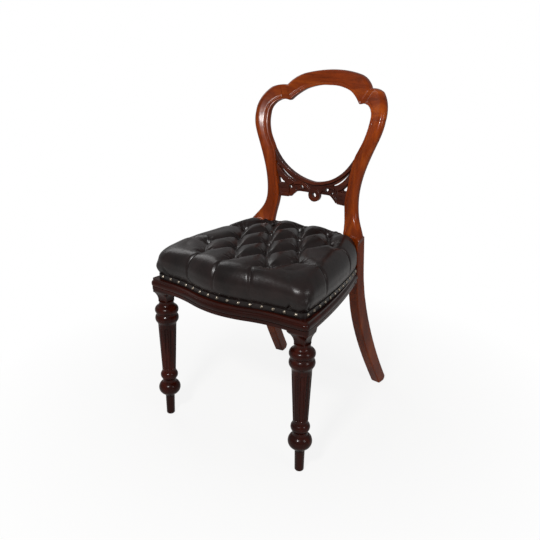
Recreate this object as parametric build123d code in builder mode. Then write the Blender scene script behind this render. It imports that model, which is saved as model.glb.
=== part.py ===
from build123d import *
from math import atan, cos, degrees, radians, sin, sqrt
import os

os.makedirs("parts", exist_ok=True)

# Victorian balloon back chair. Millimetres, +Z up, +Y to the back of the chair.
# The origin is on the floor, in the middle of the chair's width and depth.
# Points of the seat's plan count y from the leg line, where the front legs' axes stand.

# ---- whole chair ----
leg_spread = 208.0           # x of the front legs' axes
seat_depth = 353.0           # leg line to the back of the back legs' blocks
moulding_overhang = 58.0     # moulding's nose in front of the leg line
foot_back = 157.0            # back foot's heel behind its block
leg_turn = 6.5               # degrees, the back legs' turn in plan
clearance = 0.1              # round a dowel or a screw
soft_clearance = 0.3         # round what is stuffed or sewn
leg_line = (moulding_overhang - seat_depth - foot_back * cos(radians(leg_turn))) / 2

# ---- heights, stacked from the floor up ----
rail_bottom = 364.0
rail_height = 53.0
moulding_height = 29.0
block_drop = 36.0            # front legs' flared heads below the rails
block_rise = 70.0            # back legs' square blocks above the rails
waist_rise = 78.0            # the back's waist above those blocks
stile_rise = 220.0           # joint of stile and crest above the waist
crest_rise = 118.5           # the crest's top above that joint
block_low = rail_bottom - block_drop
rail_top = rail_bottom + rail_height
moulding_top = rail_bottom + moulding_height
block_height = rail_top + block_rise
waist_height = block_height + waist_rise
joint_height = waist_height + stile_rise
crest_height = joint_height + crest_rise

# ---- the back's curve ----
# Seen from the side its front face stands upright at the waist, leans back above it
# and comes forward to the seat below it. In plan it is bowed round the sitter.
waist_setback = 20.5         # front face at the waist, behind the back of the blocks
lean_radius = 670.0          # of the lean above the waist
kick = 12.3                  # face at the blocks, in front of the face at the waist
kick_radius = (waist_rise**2 + kick**2) / (2 * kick)
bow_radius = 385.5           # in plan, at the waist
back_thickness = 25.0
bow_axis = leg_line + seat_depth + waist_setback - bow_radius

# ---- the back's outline ----
back_half = 198.8            # half width at the joint of crest and stile
stile_width = 42.3           # at that joint
waist_half = 143.4
waist_width = 37.4           # stile's width at the waist
crest_depth = 41.0           # crest's height over the middle of the opening
groove_inset = 6.5           # width of the bead along the frame's inner edge
groove_width = 3.5
groove_depth = 2.2
roll_radius = 12.0           # rounding of the frame's outer front edge
back_edge_radius = 5.0
inner_edge_radius = 9.0      # rounding of the inner rear edges
crease_depth = 3.0           # of the mitre crease between arch and shoulder

# ---- dowels ----
dowel_radius = 4.0
dowel_reach = 21.0           # into each of the two pieces
shoulder_dowel_radius = 4.5
shoulder_dowel_places = (13.3, 29.3)      # in from the back's half width

# ---- carved back rail, heights from the waist, depths behind the back's face ----
tablet_low = -9.0
tablet_high = 25.0
tablet_inner = 77.0          # from the middle to a tablet's inner side
tablet_panel = 12.0          # incised square on each tablet
tablet_line = 1.6            # width of its incised line
tablet_line_depth = 1.2
rim_width = 9.0
rim_bottom = 40.0
rim_rise = 127.0             # where the rim meets the stiles
rim_front = 3.0
leaf_front = 5.0
ring_front = 4.0
ground_front = 9.0
carving_rear = 17.0
pendant_height = 3.0
pendant_radius = 18.0
pendant_hole = 6.5

# ---- back legs ----
block_corner = 174.5         # x of the block's outer back corner
leg_width = 34.0
leg_depth = 34.0
foot_width = 28.0
foot_depth = 31.0
leg_edge_radius = 2.0

# ---- front legs ----
peg_radius = 12.0
peg_height = 55.0
bulb_radius = 28.8
shaft_low = 131.5
shaft_drop = 66.0            # shaft's upper end below the flared head
shaft_high = block_low - shaft_drop
shaft_low_radius = 17.8
shaft_high_radius = 23.6
ring_radius = 30.5
neck_radius = 19.3
block_half = 20.0            # half the width of the square head between the rails
head_low_half = 14.5         # half the head's width on the neck
head_top_half = 26.5         # half its width at the ears, under the moulding
flute_count = 10
flute_radius = 5.2
flute_depth = 2.6
flute_margin = 9.0           # plain shaft beyond a flute's ends

# ---- seat rails and their braces ----
front_rail_inner = 10.0      # front rail's inner face, behind the leg line
side_rail_front = leg_spread - 12         # x of the side rail's inner face at the front block
side_rail_rear = block_corner - 26.5      # and at the back leg
back_rail_width = 25.0
brace_rise = 8.0             # brace above the rail's bottom
brace_height = 38.0
brace_width = 40.0           # along each rail
brace_seat = 8.0             # screw head's seat, from the rail
screw_radius = 2.0
screw_head_radius = 4.0
screw_head_height = 3.0
screw_reach = 14.0           # into the rail

# ---- show moulding ----
bead_height = 7.0            # of the thin bead under the roll
bead_inset = 2.0             # its edge, inside the roll's nose
cap_height = 5.0             # of the step over the roll
cap_inset = 4.0
corner_radius = 12.0         # in plan, at the front corners

# ---- upholstery ----
leather = 2.0                # thickness of the hide
nose_step = 14.0             # leather's nose behind the moulding's nose
band_height = 13.5
band_thickness = 1.4
nail_height = 37.0           # above the rail's bottom
nail_intervals = 19          # from the middle of the front to the back leg
nail_radius = 4.75
nail_dome = 3.2
nail_shank_radius = 0.8
nail_reach = 8.0             # into the rail
back_nail_count = 9
back_nail_spacing = 27.0
webbing_width = 46.0
webbing_thickness = 1.6
webbing_inset = 10.0         # strap's end, inside the leather's face
hessian_thickness = 0.8
padding_edge = 24.0          # first stuffing's edge, inside the leather's face
padding_height = 24.0
seat_rise = 82.0             # top of the cushion above the rails
button_radius = 6.5
button_height = 5.0
button_sink = 29.5           # bottom of the buttons' wells below the cushion's top
twine_radius = 0.9
knot_radius = 2.0
well_radius = 25.0           # of a button's well at the cushion's top
channel_radius = 30.0        # of the hollow between two buttons
channel_depth = 13.0
pleat_width = 2.4
pleat_depth = 4.0
# rows of buttons: share of the seat's depth, shares of the front legs' spread
button_rows = ((0.062, (0, 0.466)), (0.249, (0.221, 0.663)), (0.456, (0, 0.447)),
               (0.669, (0.216, 0.639)), (0.895, (0, 0.428)))

face_inset = leather + soft_clearance     # rails' outer faces inside the leather's
seat_rear = seat_depth - 1                # leather's back face, behind the leg line
well_bottom = rail_top + seat_rise - button_sink


def setback(z):
    # front face of the back at the height z, behind the leg line
    waist = seat_depth + waist_setback
    if z >= waist_height:
        return waist + lean_radius - sqrt(lean_radius**2 - (z - waist_height)**2)
    low = max(z, block_height)
    return waist - kick_radius + sqrt(kick_radius**2 - (low - waist_height)**2)


def back_y(x, z, depth):
    # y of the point at this depth behind the bowed front face
    radius = leg_line + setback(z) + depth - bow_axis
    return bow_axis + sqrt(radius**2 - x**2)


def depth_at(p):
    # how far a point lies behind the back's bowed front face
    return sqrt(p.X**2 + (p.Y - bow_axis)**2) + bow_axis - leg_line - setback(p.Z)


def bowed_slab(front, rear):
    # everything between two depths behind the back's front face
    top = crest_height + 12
    levels = (rail_top, block_height, (block_height + waist_height) / 2, waist_height,
              (waist_height + top) / 2, top)
    with BuildPart() as slab:
        with BuildSketch(Plane.YZ):
            with BuildLine():
                ends = []
                for depth in (front, rear):
                    marks = [(leg_line + setback(z) + depth, z) for z in levels]
                    Line(marks[0], marks[1])
                    ThreePointArc(marks[1], marks[2], marks[3])
                    ThreePointArc(marks[3], marks[4], marks[5])
                    ends += [marks[0], marks[5]]
                Line(ends[0], ends[2])
                Line(ends[1], ends[3])
            make_face()
        revolve(axis=Axis((0, bow_axis, 0), (0, 0, 1)))
    return slab.part


def rods(runs, radius, extra=0.0):
    # a round rod for each pair of end points, lengthened at both ends
    with BuildPart() as group:
        for start, end in runs:
            way = (Vector(end) - Vector(start)).normalized()
            with BuildSketch(Plane(origin=Vector(start) - way * extra, z_dir=way)):
                Circle(radius)
            extrude(amount=(Vector(end) - Vector(start)).length + 2 * extra)
    return group.part


# ---- plans of the seat ----
def plan_point(x, y, scale=1.0):
    # a point behind the leg line, swelled or drawn in about the seat's middle
    middle = seat_depth / 2 - 26
    return (x * scale, leg_line + middle + (y - middle) * scale)


def leather_edge(scale=1.0):
    # right half of the leather's outline, from the middle of the front to the back leg
    def at(x, y):
        return plan_point(x, y, scale)
    nose = nose_step - moulding_overhang
    elbow = leg_spread - 50
    corner = (leg_spread - 1, nose + 28.5)
    side_front = (leg_spread + 11.5, nose + 42)
    side_rear = (block_corner - 3.5, seat_depth - 39)
    side_middle = ((side_front[0] + side_rear[0]) / 2 + 8, (side_front[1] + side_rear[1]) / 2)
    turn = (leg_spread * 0.37, nose + 10.8)
    ThreePointArc(at(0, nose), at(leg_spread * 0.1875, nose + 3), at(*turn))
    ThreePointArc(at(*turn), at(leg_spread * 0.558, nose + 20), at(elbow, nose + 25.2))
    Line(at(elbow, nose + 25.2), at(*corner))
    ThreePointArc(at(*corner), at(leg_spread + 7.6, nose + 32.7), at(*side_front))
    ThreePointArc(at(*side_front), at(*side_middle), at(*side_rear))


def seat_plan(grow=0.0, scale=1.0):
    with BuildSketch() as plan:
        with BuildLine():
            leather_edge(scale)
            rear = (block_corner - 14.5, seat_rear)
            Line(plan_point(block_corner - 3.5, seat_depth - 39, scale), plan_point(*rear, scale))
            Line(plan_point(*rear, scale), plan_point(0, seat_rear, scale))
            mirror(about=Plane.YZ)
        make_face()
        if grow:
            offset(amount=grow, kind=Kind.ARC)
    return plan.sketch


def moulding_plan(grow=0.0):
    # outer edge of the show moulding, wide at the front corners, narrow at the back legs
    nose = -moulding_overhang
    turn = plan_point(leg_spread * 0.375, nose + 11.5)
    elbow = (leg_spread - 50, nose + 26.5)
    corner = (leg_spread + 28.8, nose + 28.8)
    side_rear = (block_corner + 0.5, seat_depth - 37)
    side_middle = ((corner[0] + side_rear[0]) / 2 + 9, (corner[1] + side_rear[1]) / 2)
    with BuildSketch() as plan:
        with BuildLine():
            ThreePointArc(plan_point(0, nose), plan_point(leg_spread * 0.1875, nose + 3.2), turn)
            ThreePointArc(turn, plan_point(leg_spread * 0.558, nose + 21), plan_point(*elbow))
            Line(plan_point(*elbow), plan_point(*corner))
            ThreePointArc(plan_point(*corner), plan_point(*side_middle), plan_point(*side_rear))
            Line(plan_point(*side_rear), plan_point(block_corner - 5, seat_depth))
            Line(plan_point(block_corner - 5, seat_depth), plan_point(0, seat_depth))
            mirror(about=Plane.YZ)
        make_face()
        fillet(plan.vertices().filter_by(lambda v: abs(abs(v.X) - corner[0]) < 1), corner_radius)
        if grow:
            offset(amount=grow, kind=Kind.ARC)
    return plan.sketch


def notch_plan(grow=0.0):
    # corners left out of the upholstery for the back legs
    far = seat_depth + 30
    with BuildSketch() as plan:
        with BuildLine():
            Polyline(*[(x, leg_line + y) for x, y in
                       ((block_corner - 61, far), (block_corner - 61, seat_depth - 12),
                        (block_corner - 38.5, seat_depth - 17.5),
                        (block_corner - 38.5, seat_depth - 30.5),
                        (block_corner + 26, seat_depth - 37.5), (block_corner + 26, far))],
                     close=True)
        make_face()
        if grow:
            offset(amount=grow, kind=Kind.ARC)
        mirror(about=Plane.YZ)
    return plan.sketch


with BuildPart() as leg_notches:
    with BuildSketch(Plane.XY.offset(rail_bottom - 10)):
        add(notch_plan())
    extrude(amount=rail_height + 2 * seat_rise)

# ---- dowels of the seat's rails ----
# each run goes from a rail into a leg
rail_levels = (rail_bottom + 20, rail_bottom + 46)
side_levels = (rail_bottom + 7, rail_bottom + 33)
block_inner = leg_spread - block_half
leg_inner = block_corner - leg_width * cos(radians(leg_turn))
side_run = Vector(side_rail_rear - side_rail_front, seat_depth - 31 - block_half, 0).normalized()
side_way = Vector(-side_run.Y, side_run.X, 0)         # into the seat, square to the side rail
side_joint_front = Vector(side_rail_front, leg_line + block_half, 0) - side_way * 10
side_joint_rear = Vector(side_rail_rear, leg_line + seat_depth - 31, 0) - side_way * 9
back_rail_middle = leg_line + seat_rear - face_inset - back_rail_width / 2

front_dowel_runs = []
leg_dowel_runs = []
for z in rail_levels:
    front_dowel_runs += [((block_inner - dowel_reach, leg_line - 3, z),
                          (block_inner + dowel_reach, leg_line - 3, z))]
    leg_dowel_runs += [((leg_inner - dowel_reach, back_rail_middle, z),
                        (leg_inner + dowel_reach - 6, back_rail_middle, z))]
for z in side_levels:
    up = Vector(0, 0, z)
    front_dowel_runs += [(side_joint_front + up + side_run * dowel_reach,
                          side_joint_front + up - side_run * dowel_reach)]
    leg_dowel_runs += [(side_joint_rear + up - side_run * dowel_reach,
                        side_joint_rear + up + side_run * dowel_reach)]

with BuildPart() as rail_dowels:
    add(rods(front_dowel_runs + leg_dowel_runs, dowel_radius))
    mirror(about=Plane.YZ)

with BuildPart() as dowel_holes:
    add(rods(front_dowel_runs + leg_dowel_runs, dowel_radius + clearance, 1))
    mirror(about=Plane.YZ)

# ---- elevation of the back: local x is X, local y is Z ----
elevation = Plane(origin=(0, leg_line + seat_depth + 207, 0), x_dir=(1, 0, 0), z_dir=(0, -1, 0))
elevation_reach = 300.0

arch_height = crest_height - crest_depth
inner_half = back_half - stile_width
crest_top = (0, crest_height)
crest_side = (back_half * 0.402, crest_height - 9.5)
outer_notch = (back_half * 0.656, crest_height - 43.5)
shoulder = (back_half - 28.8, crest_height - 50)
outer_joint = (back_half, joint_height)
arch_top = (0, arch_height)
arch_side = (inner_half * 0.454, arch_height - 12.5)
inner_notch = (inner_half * 0.693, arch_height - 44)
inner_shoulder = (inner_half - 17, arch_height - 45)
inner_joint = (inner_half, joint_height)
rim_end = (waist_half - 15.4, waist_height + rim_rise)
block_outer = (block_corner + 1.5, block_height)
stile_toe = (block_corner - 33.5, rail_top + 0.5)


def between(low, high, share):
    return low + (high - low) * share


def crest_outer():
    ThreePointArc(crest_top, (back_half * 0.206, crest_height - 2.5), crest_side)
    ThreePointArc(crest_side, (back_half * 0.541, crest_height - 21), outer_notch)
    ThreePointArc(outer_notch, (back_half * 0.757, crest_height - 43.9), shoulder)
    ThreePointArc(shoulder, (back_half - 8.3, between(joint_height, shoulder[1], 0.628)), outer_joint)


def crest_inner():
    ThreePointArc(arch_top, (inner_half * 0.256, arch_height - 3), arch_side)
    ThreePointArc(arch_side, (inner_half * 0.588, arch_height - 27), inner_notch)
    ThreePointArc(inner_notch, (inner_half * 0.792, arch_height - 41), inner_shoulder)
    ThreePointArc(inner_shoulder, (inner_half - 4, between(joint_height, inner_shoulder[1], 0.6)),
                  inner_joint)


def stile_outer():
    Spline(outer_joint, (back_half - 16.3, waist_height + stile_rise * 0.705),
           (waist_half + 12.6, waist_height + stile_rise * 0.386),
           (waist_half, waist_height + stile_rise * 0.045),
           (waist_half + 7.1, waist_height - waist_rise * 0.474), block_outer,
           tangents=[(0, -1), (0.55, -0.84)])


def stile_inner(grow=0.0):
    # the stile's inner line, or a line beside it in the wood
    line = Spline(inner_joint, (inner_half - 5.7, between(rim_end[1], joint_height, 0.559)),
                  (inner_half - 15.5, between(rim_end[1], joint_height, 0.28)), rim_end,
                  (waist_half - 29.4, waist_height + rim_rise * 0.394),
                  (waist_half - waist_width, waist_height),
                  (waist_half - 30.9, waist_height - waist_rise * 0.718), stile_toe,
                  tangents=[(0, -1), (0.5, -0.86)], mode=Mode.PRIVATE)
    if not grow:
        add(line)
        return line
    steps = [step / 12 for step in range(13)]
    return Spline(*[line @ t + (line % t).rotate(Axis.Z, 90) * grow for t in steps],
                  tangents=[line % 0, line % 1])


def along(edges, curve, depth):
    # the edges that lie on a curve of the elevation, at this depth
    return [e for e in edges if abs(depth_at(e @ 0.5) - depth) < 2
            and curve.distance_to(Vertex((e @ 0.5).X, (e @ 0.5).Z, 0)) < 0.4]


def crest_void(grow):
    # inside of the crest, run straight down past the joint and grown into the wood
    with BuildSketch() as void:
        with BuildLine():
            crest_inner()
            Line(inner_joint, (inner_half, joint_height - 30))
            Line((inner_half, joint_height - 30), (0, joint_height - 30))
            Line((0, joint_height - 30), arch_top)
        make_face()
        mirror(about=Plane.YZ)
        offset(amount=grow, kind=Kind.ARC)
    return void.sketch


# ---- the groove beside the bead that runs round the inside of the frame ----
groove_outer = groove_inset + groove_width
with BuildPart() as crest_groove:
    with BuildSketch(elevation):
        add(crest_void(groove_outer))
        add(crest_void(groove_inset), mode=Mode.SUBTRACT)
    extrude(amount=elevation_reach)
    add(bowed_slab(-2, groove_depth), mode=Mode.INTERSECT)

with BuildPart() as stile_groove:
    with BuildSketch(elevation):
        with BuildLine():
            near_side = stile_inner(groove_inset)
            far_side = stile_inner(groove_outer)
            Line(near_side @ 1, far_side @ 1)
            over = Vector(0, 5)
            Polyline(near_side @ 0, near_side @ 0 + over, far_side @ 0 + over, far_side @ 0)
        make_face()
    extrude(amount=elevation_reach)
    add(bowed_slab(-2, groove_depth), mode=Mode.INTERSECT)

# ---- dowels between crest and stiles ----
lean = (setback(joint_height + dowel_reach) - setback(joint_height - dowel_reach)) / 2
shoulder_runs = []
for place in shoulder_dowel_places:
    for side in (-1, 1):
        x = back_half - place
        middle = Vector(side * x, back_y(x, joint_height, back_thickness / 2), joint_height)
        reach = Vector(0, lean, dowel_reach)
        shoulder_runs += [(middle - reach, middle + reach)]

with BuildPart() as shoulder_dowels:
    add(rods(shoulder_runs, shoulder_dowel_radius))

# ---- dowels between carved rail and stiles ----
carved_dowel_level = waist_height + (tablet_low + tablet_high) / 2
carved_dowel_depth = (rim_front + carving_rear) / 2
stile_face_x = waist_half - waist_width
carved_runs = []
for side in (-1, 1):
    carved_runs += [tuple(Vector(side * x, back_y(x, carved_dowel_level, carved_dowel_depth),
                                 carved_dowel_level)
                          for x in (stile_face_x - 16, stile_face_x + 18))]

with BuildPart() as carved_rail_dowels:
    add(rods(carved_runs, dowel_radius))

# ---- crest rail ----
with BuildPart() as mitre_crease:
    # a long three-sided cutter down the line from notch to notch
    ends = [Vector(x, back_y(x, z, 0), z) for x, z in (inner_notch, outer_notch)]
    crease_way = (ends[1] - ends[0]).normalized()
    crease_out = Vector(0, -1, 0) - crease_way * crease_way.dot(Vector(0, -1, 0))
    with BuildSketch(Plane(origin=ends[0] - crease_way * 15, x_dir=crease_out, z_dir=crease_way)):
        with BuildLine():
            Polyline((-crease_depth, 0), (6, 7 * crease_depth), (6, -7 * crease_depth), close=True)
        make_face()
    extrude(amount=(ends[1] - ends[0]).length + 40)
    mirror(about=Plane.YZ)

with BuildPart() as crest_rail:
    with BuildSketch(elevation):
        with BuildLine():
            crest_outer()
            crest_inner()
            Line(outer_joint, inner_joint)
            mirror(about=Plane.YZ)
        make_face()
    extrude(amount=elevation_reach)
    add(bowed_slab(0, back_thickness), mode=Mode.INTERSECT)
    with BuildLine(mode=Mode.PRIVATE) as crest_edge:
        crest_outer()
        mirror(about=Plane.YZ)
    fillet(along(crest_rail.edges(), crest_edge.line, 0), roll_radius)
    fillet(along(crest_rail.edges(), crest_edge.line, back_thickness), back_edge_radius)
    with BuildLine(mode=Mode.PRIVATE) as arch_edge:
        crest_inner()
        mirror(about=Plane.YZ)
    fillet(along(crest_rail.edges(), arch_edge.line, back_thickness), inner_edge_radius)
    add(crest_groove.part, mode=Mode.SUBTRACT)
    add(mitre_crease.part, mode=Mode.SUBTRACT)
    add(rods(shoulder_runs, shoulder_dowel_radius + clearance, 1), mode=Mode.SUBTRACT)

# ---- back legs: stile, square block and sabre leg, one piece each ----
leg_side = Plane(origin=(block_corner, leg_line + seat_depth, 0),
                 x_dir=(sin(radians(leg_turn)), cos(radians(leg_turn)), 0),
                 z_dir=(cos(radians(leg_turn)), -sin(radians(leg_turn)), 0))

with BuildPart() as sabre_leg:
    with BuildSketch(leg_side):
        with BuildLine():
            knee = rail_bottom + 36
            fall = knee - block_height
            sole = foot_back - foot_depth
            Line((-leg_depth, block_height), (6 - leg_depth, knee))
            Spline((6 - leg_depth, knee), (19.5 - leg_depth, knee * 0.725), (sole * 0.19, knee * 0.455),
                   (sole, 0), tangents=[(6, fall), (0.62, -1)])
            Line((sole, 0), (foot_back - 10, 0))
            ThreePointArc((foot_back - 10, 0), (foot_back - 2.6, 5), (foot_back, 14))
            Spline((foot_back, 14), (foot_back * 0.506, knee * 0.3875),
                   (foot_back * 0.178, knee * 0.7125), (6, knee), tangents=[(-0.62, 1), (-6, -fall)])
            Line((6, knee), (0, block_height))
            Line((0, block_height), (-leg_depth, block_height))
        make_face()
    extrude(amount=-leg_width)
    taper = atan((leg_width - foot_width) / block_height)
    split(bisect_by=leg_side.offset(-foot_width).rotated((-degrees(taper), 0, 0)), keep=Keep.TOP)
    fillet(sabre_leg.edges().filter_by(lambda e: e.length > 80), leg_edge_radius)

# the stile's elevation, down into the block
with BuildSketch() as stile_face:
    with BuildLine():
        stile_outer()
        stile_inner()
        Line(outer_joint, inner_joint)
        Line(stile_toe, (block_corner - leg_width / 2 + 1.5, stile_toe[1]))
        Line((block_corner - leg_width / 2 + 1.5, stile_toe[1]), block_outer)
    make_face()

with BuildPart() as right_back_leg:
    with BuildSketch(elevation):
        add(stile_face.sketch)
    extrude(amount=elevation_reach)
    add(bowed_slab(0, back_thickness), mode=Mode.INTERSECT)
    with BuildLine(mode=Mode.PRIVATE) as stile_edge:
        stile_outer()
    fillet(along(right_back_leg.edges(), stile_edge.line, 0), roll_radius)
    fillet(along(right_back_leg.edges(), stile_edge.line, back_thickness), back_edge_radius)
    with BuildLine(mode=Mode.PRIVATE) as opening_edge:
        stile_inner()
    fillet(along(right_back_leg.edges(), opening_edge.line, back_thickness), inner_edge_radius)
    add(stile_groove.part, mode=Mode.SUBTRACT)
    add(sabre_leg.part)
    add(rods(shoulder_runs, shoulder_dowel_radius + clearance, 1), mode=Mode.SUBTRACT)
    add(rods(carved_runs, dowel_radius + clearance, 1), mode=Mode.SUBTRACT)
    add(rods(leg_dowel_runs, dowel_radius + clearance, 1), mode=Mode.SUBTRACT)

# ---- carved back rail: rim, two tablets, pierced leafwork and a pendant ring ----
# drawn on the elevation with its heights from the waist
carving_plane = Plane(origin=elevation.from_local_coords((0, waist_height, 0)), x_dir=(1, 0, 0),
                      z_dir=(0, -1, 0))
rim_corner = (rim_end[0] - 9.7, rim_end[1] - waist_height - 17)
rim_point = (rim_end[0], rim_end[1] - waist_height)
tablet_middle = (tablet_low + tablet_high) / 2

# the wood of the stiles, which the rail's ends are cut to
with BuildSketch() as stile_ends:
    with Locations((0, -waist_height)):
        with BuildSketch(mode=Mode.PRIVATE) as wood:
            with BuildLine():
                face = stile_inner(-clearance)
                Polyline(face @ 1, (elevation_reach, stile_toe[1]), (elevation_reach, joint_height),
                         face @ 0)
            make_face()
        add(wood.sketch)
    mirror(about=Plane.YZ)


def carving(front, rear, *faces):
    # flat shapes of the elevation as one bowed layer between two depths
    with BuildPart() as layer:
        with BuildSketch(carving_plane):
            for face in faces:
                add(face)
            add(stile_ends.sketch, mode=Mode.SUBTRACT)
            add(piercings.sketch, mode=Mode.SUBTRACT)
        extrude(amount=elevation_reach)
        add(bowed_slab(front, rear), mode=Mode.INTERSECT)
    return layer.part


def upper_rim():
    # the lower half of the oval opening
    ThreePointArc((0, rim_bottom), (78, rim_bottom + 28), rim_corner)
    ThreePointArc(rim_corner, (rim_end[0] - 4.4, rim_corner[1] + 8.2), rim_point)


# the rail's whole outline, run on into the stiles
with BuildSketch() as rail_shape:
    with BuildLine():
        upper_rim()
        Line(rim_point, (waist_half, rim_point[1] - 52))
        Line((waist_half, rim_point[1] - 52), (waist_half - 19, tablet_low))
        Line((waist_half - 19, tablet_low), (tablet_inner + 3, tablet_low))
        ThreePointArc((tablet_inner + 3, tablet_low), (62, 4.5), (42, 8.5))
        Line((42, 8.5), (0, 7))
        Line((0, 7), (0, rim_bottom))
    make_face()
    mirror(about=Plane.YZ)
    with Locations((0, pendant_height)):
        Circle(pendant_radius)

# what is cut right through: slits under the rim, holes by the tablets and the straps
with BuildSketch() as piercings:
    with BuildLine():
        Spline((113, 81), (88, 56), (60, 38), (46, 33.5))
        Spline((46, 33.5), (68, 39), (90, 52), (113, 81))
    make_face()
    with BuildLine():
        Polyline((111, 47), (107, 29), (92, 29), (100, 37), close=True)
    make_face()
    for x, z, wide, high, turn in ((40, 22, 4.2, 5.5, -35), (75, 18, 3, 4.6, -20),
                                   (57, 15, 2.2, 3.2, -50)):
        with Locations((x, z)):
            Ellipse(wide, high, rotation=turn)
    mirror(about=Plane.YZ)
    with Locations((0, pendant_height)):
        Circle(pendant_hole)

# what stands out to the front: a leaf on each side and two crossing straps
with BuildSketch() as leafwork:
    with BuildLine():
        Spline((128, 97), (116, 63), (99, 38), (72, 25))
        Spline((72, 25), (66, 31), (58, 33))
        Spline((58, 33), (88, 51), (108, 71), (128, 97))
    make_face()
    with BuildLine():
        Spline((64, 32), (42, 34), (22, 25), (12, 13))
        Line((12, 13), (18, 9))
        Spline((18, 9), (30, 21), (46, 27), (66, 24))
        Line((66, 24), (64, 32))
    make_face()
    with BuildLine():
        Spline((26, 27), (48, 21), (66, 9), (78, -5))
        Line((78, -5), (72, -8.5))
        Spline((72, -8.5), (58, 5), (44, 14), (22, 20))
        Line((22, 20), (26, 27))
    make_face()
    mirror(about=Plane.YZ)

with BuildSketch() as rim_band:
    with BuildLine():
        upper_rim()
        Line(rim_point, (rim_end[0], rim_corner[1] - 7))
        ThreePointArc((rim_end[0], rim_corner[1] - 7), (84, rim_bottom + 21),
                      (0, rim_bottom - rim_width))
        Line((0, rim_bottom - rim_width), (0, rim_bottom))
    make_face()
    mirror(about=Plane.YZ)

with BuildSketch() as tablet_squares:
    with Locations((tablet_inner + 14, tablet_middle)):
        Rectangle(tablet_panel + tablet_line, tablet_panel + tablet_line)
        Rectangle(tablet_panel - tablet_line, tablet_panel - tablet_line, mode=Mode.SUBTRACT)
    mirror(about=Plane.YZ)

with BuildSketch() as tablets:
    with Locations((tablet_inner, tablet_middle)):
        Rectangle(waist_half - 19 - tablet_inner, tablet_high - tablet_low,
                  align=(Align.MIN, Align.CENTER))
    mirror(about=Plane.YZ)
    add(tablet_squares.sketch, mode=Mode.SUBTRACT)

with BuildSketch() as pendant_ring:
    with Locations((0, pendant_height)):
        Circle(pendant_radius)

with BuildPart() as carved_back_rail:
    add(carving(ground_front, carving_rear, rail_shape.sketch))
    add(carving(rim_front, carving_rear - 2, rim_band.sketch, tablets.sketch))
    add(carving(rim_front + tablet_line_depth, carving_rear - 2, tablet_squares.sketch))
    add(carving(leaf_front, carving_rear - 2, leafwork.sketch))
    add(carving(ring_front, carving_rear - 2, pendant_ring.sketch))
    add(rods(carved_runs, dowel_radius + clearance, 1), mode=Mode.SUBTRACT)

with BuildPart() as left_back_leg:
    add(mirror(right_back_leg.part, about=Plane.YZ, mode=Mode.PRIVATE))

# ---- front legs: peg foot, bulb, beads, fluted shaft, rings and flared head ----
with BuildPart() as turned_leg:
    with BuildSketch(Plane.XZ):
        with BuildLine():
            throat = (shaft_low_radius + 0.7, 97)
            bead_foot = (shaft_low_radius + 1.2, 107.5)
            bead_head = (shaft_low_radius + 1.7, shaft_low - 5)
            collar = (ring_radius - 3.5, block_low - 55)
            Polyline((0, 0), (peg_radius - 2.5, 0), (peg_radius - 1, 2), (peg_radius, peg_height))
            ThreePointArc((peg_radius, peg_height), (peg_radius + 2.2, peg_height + 2.5),
                          (peg_radius + 4, peg_height + 6))
            ThreePointArc((peg_radius + 4, peg_height + 6), (bulb_radius, peg_height + 24), throat)
            ThreePointArc(throat, (shaft_low_radius - 0.2, 102), bead_foot)
            ThreePointArc(bead_foot, (shaft_low_radius + 5.2, 117), bead_head)
            Line(bead_head, (shaft_low_radius, shaft_low))
            Line((shaft_low_radius, shaft_low), (shaft_high_radius, shaft_high))
            ThreePointArc((shaft_high_radius, shaft_high), (shaft_high_radius + 0.8, shaft_high + 6),
                          collar)
            ThreePointArc(collar, (ring_radius, block_low - 45), (ring_radius - 3.5, block_low - 35.5))
            Line((ring_radius - 3.5, block_low - 35.5), (ring_radius - 3.5, block_low - 31))
            ThreePointArc((ring_radius - 3.5, block_low - 31), (ring_radius, block_low - 21.5),
                          (ring_radius - 5, block_low - 12.5))
            ThreePointArc((ring_radius - 5, block_low - 12.5), (neck_radius + 0.6, block_low - 7),
                          (neck_radius, block_low + 2))
            Line((neck_radius, block_low + 2), (0, block_low + 2))
            Line((0, block_low + 2), (0, 0))
        make_face()
    revolve(axis=Axis.Z)

flute_lean = atan((shaft_high_radius - shaft_low_radius) / (shaft_high - shaft_low))
flute_foot = (shaft_low_radius + flute_radius - flute_depth, 0, shaft_low + flute_margin)
flute_length = (shaft_high - shaft_low - 2 * flute_margin) / cos(flute_lean)
flute_plane = Plane(origin=flute_foot, x_dir=(cos(flute_lean), 0, -sin(flute_lean)),
                    z_dir=(0, -1, 0))

with BuildPart() as flute:
    # a round rod with round ends
    with BuildSketch(flute_plane):
        with BuildLine():
            Line((0, -flute_radius), (0, flute_length + flute_radius))
            CenterArc((0, flute_length), flute_radius, 0, 90)
            Line((flute_radius, flute_length), (flute_radius, 0))
            CenterArc((0, 0), flute_radius, -90, 90)
        make_face()
    revolve(axis=Axis(flute_foot, (sin(flute_lean), 0, cos(flute_lean))))


def head_profile():
    # seen from the front or the side: a hollow curve up from the neck, then a round ear
    def at(half, share):
        return (half, between(block_low, rail_bottom, share))
    turn = at(between(head_low_half, head_top_half, 0.5), 0.69)
    ear = at(head_top_half, 0.93)
    with BuildSketch() as profile:
        with BuildLine():
            Line(at(0, 0), at(head_low_half, 0))
            ThreePointArc(at(head_low_half, 0), at(head_low_half + 0.9, 0.375), turn)
            ThreePointArc(turn, at(head_top_half - 2.3, 0.795), ear)
            Line(ear, at(head_top_half, 1))
            Line(at(head_top_half, 1), at(0, 1))
            mirror(about=Plane.YZ)
        make_face()
    return profile.sketch


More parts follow.
